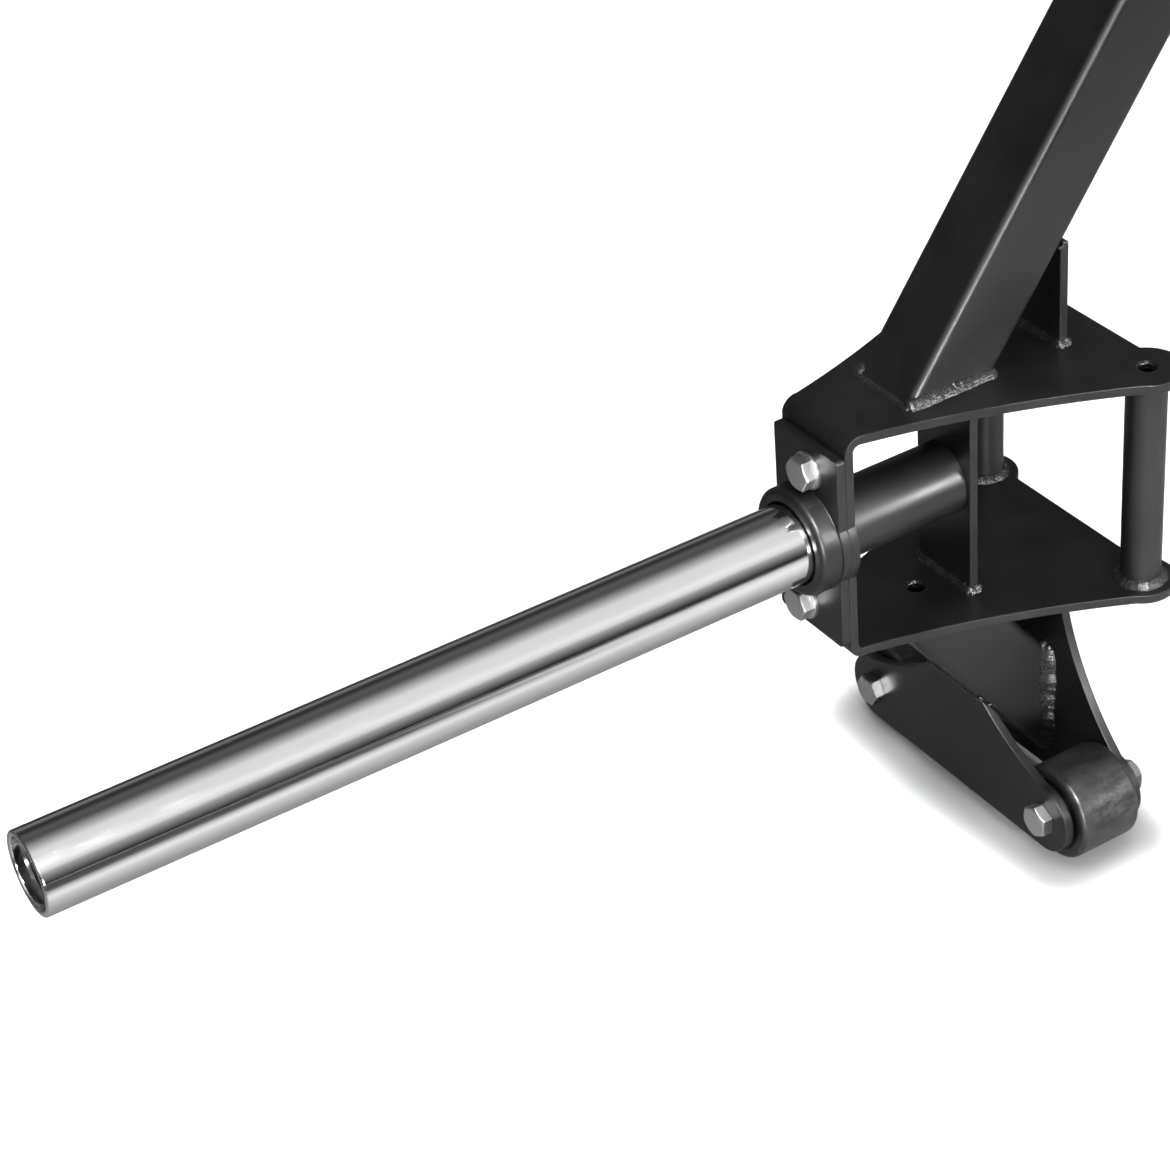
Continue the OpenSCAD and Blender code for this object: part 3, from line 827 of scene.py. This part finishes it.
def make_floor():
    """A pale sweep that glows a little, so that it stays white; close to the feet a shadow is painted into
    it.

    Only the camera sees it so: the bar mirrors FLOOR_PAINTED_LIGHT, as in the photograph."""
    bpy.ops.mesh.primitive_plane_add(size=40.0, location=(0.0, 0.0, 0.0))
    floor = bpy.context.object
    floor.name = "floor"
    made, tree, shader, place = new_material("pale_floor_painted_light_and_shade")
    output = tree.nodes["Material Output"]
    tree.nodes.remove(shader)
    parts = add_node(tree, "SeparateXYZ", {0: place}).outputs
    share = math_node(tree, "ADD", math_node(tree, "DIVIDE", parts["Y"], FLOOR_SPAN), 0.5)
    out = math_node(tree, "ABSOLUTE", parts["X"])
    # painted contact shadow: the camera sees the floor darker close to the feet, paling over a few
    # centimetres
    beside = math_node(tree, "ABSOLUTE", math_node(tree, "SUBTRACT", out, FOOT_X))
    beside = math_node(tree, "SUBTRACT", beside, FOOT_HALF_X, clamp=True)
    beyond = math_node(tree, "ABSOLUTE", parts["Y"])
    beyond = math_node(tree, "SUBTRACT", beyond, FOOT_HALF_Y, clamp=True)
    squared = math_node(tree, "MULTIPLY", beside, beside)
    squared = math_node(tree, "ADD", squared, math_node(tree, "MULTIPLY", beyond, beyond))
    away = spread(tree, squared, 0.0, PAINTED_SHADOW_REACH)
    pale = mix_colour(tree, away, grey(FOOT_PAINTED_SHADOW), grey(PALE))
    strength = math_node(tree, "MULTIPLY", away, GLOW)
    lit = add_node(tree, "BsdfDiffuse", {"Color": pale})
    glow = add_node(tree, "Emission", {"Strength": strength})
    seen = add_node(tree, "AddShader", {0: lit.outputs[0], 1: glow.outputs[0]})
    # painted reflection: the colour the bar mirrors is bright in front of it, painted shade under it and
    # painted dark beyond its sides
    ramp = mix_colour(
        tree,
        spread(tree, out, SLEEVE_FROM, SLEEVE_TO),
        level_ramp(tree, share, FLOOR_PAINTED_LIGHT),
        level_ramp(tree, share, SLEEVE_FLOOR_PAINTED_LIGHT),
    )
    aside = math_node(tree, "ABSOLUTE", math_node(tree, "SUBTRACT", out, SIDE_MIDDLE))
    ramp = mix_colour(tree, spread(tree, aside, DARK_FROM, DARK_TO), ramp, grey(PAINTED_FAR_DARK))
    painted_reflection = add_node(tree, "BsdfDiffuse", {"Color": ramp})
    path = add_node(tree, "LightPath").outputs["Is Camera Ray"]
    both = add_node(tree, "MixShader", {0: path, 1: painted_reflection.outputs[0], 2: seen.outputs[0]})
    tree.links.new(both.outputs[0], output.inputs["Surface"])
    floor.data.materials.append(made)


def over_the_top(angle, level):
    """A stop of the studio's ramp: an angle in degrees, and its brightness."""
    return angle / 360 + 0.5, level


# The studio as the bar mirrors it: brightness by angle over the top, from the front horizon at 0 degrees
STUDIO = (
    over_the_top(-180, 0.05), over_the_top(-20, 0.05), over_the_top(0, 0.056), over_the_top(8, 0.15),
    over_the_top(21, 0.38), over_the_top(29, 0.80), over_the_top(40, 0.98), over_the_top(55, 0.83),
    over_the_top(77, 0.80), over_the_top(93, 0.44), over_the_top(109, 0.16), over_the_top(118, 0.08),
    over_the_top(135, 0.105), over_the_top(150, 0.035), over_the_top(158, 0.035), over_the_top(166, 0.12),
    over_the_top(173, 0.21), over_the_top(180, 0.13),
)


def make_world():
    """A studio that only mirrors show; the camera sees it pale, and it adds a little even light."""
    world = bpy.data.worlds.new("studio")
    bpy.context.scene.world = world
    world.use_nodes = True
    tree = world.node_tree
    place = add_node(tree, "TexCoord").outputs["Generated"]
    parts = add_node(tree, "SeparateXYZ", {0: place}).outputs
    front = math_node(tree, "MULTIPLY", parts["Y"], -1.0)
    angle = math_node(tree, "ARCTAN2", parts["Z"], front)
    share = math_node(tree, "ADD", math_node(tree, "DIVIDE", angle, 2 * math.pi), 0.5)
    ramp = level_ramp(tree, share, STUDIO)
    path = add_node(tree, "LightPath").outputs
    colour = mix_colour(tree, path["Is Diffuse Ray"], ramp, grey(0.14))
    colour = mix_colour(tree, path["Is Camera Ray"], colour, grey(0.92))
    tree.links.new(colour, tree.nodes["Background"].inputs["Color"])


def make_lamp(name, place, target, size, power, glossy=True, diffuse=True, beam=180.0):
    """A square area lamp; glossy and diffuse say which kind of surface it lights, beam is its spread."""
    lamp = bpy.data.objects.new(name, bpy.data.lights.new(name, "AREA"))
    bpy.context.scene.collection.objects.link(lamp)
    lamp.data.size = size
    lamp.data.energy = power
    lamp.data.spread = math.radians(beam)
    lamp.location = place
    lamp.rotation_euler = (Vector(target) - Vector(place)).to_track_quat("-Z", "Y").to_euler()
    lamp.visible_glossy = glossy
    lamp.visible_diffuse = diffuse
    lamp.visible_camera = False
    return lamp


def shade_from(lamp, shaded):
    """Keeps a lamp's light off the shaded pieces, as a flag in front of it would."""
    lit = bpy.data.collections.new("lit_by_" + lamp.name)
    for piece in bpy.context.scene.objects:
        if piece.type == "MESH" and piece not in shaded:
            lit.objects.link(piece)
    lamp.light_linking.receiver_collection = lit


make_camera()
make_floor()
make_world()
# Each lamp's place, what it is aimed at, its size in metres and its power in watts
make_lamp("overhead", (-0.45, 0.0, 5.0), (-0.4, 0.1, 0.0), 4.4, 330.0, glossy=False)
make_lamp("low_front", (-0.7, -3.2, 0.52), (-0.5, 0.0, 0.3), 1.0, 170.0, glossy=False)
make_lamp("front_glint", (-1.15, -2.2, 2.9), (-0.5, 0.0, 0.3), 0.9, 300.0, diffuse=False)
make_lamp("side_glint", (-1.7, -2.7, 0.55), (-0.4, 0.0, 0.3), 0.6, 110.0, diffuse=False)
socket_lamp = make_lamp(
    "socket_glint", (0.12, -1.02, 0.60), (-0.42, 0.0, 0.245), 0.30, 0.30, diffuse=False, beam=20.0
)
shade_from(socket_lamp, [nodes["sleeve_left"], nodes["sleeve_right"]])
bpy.context.scene.view_settings.view_transform = "Standard"
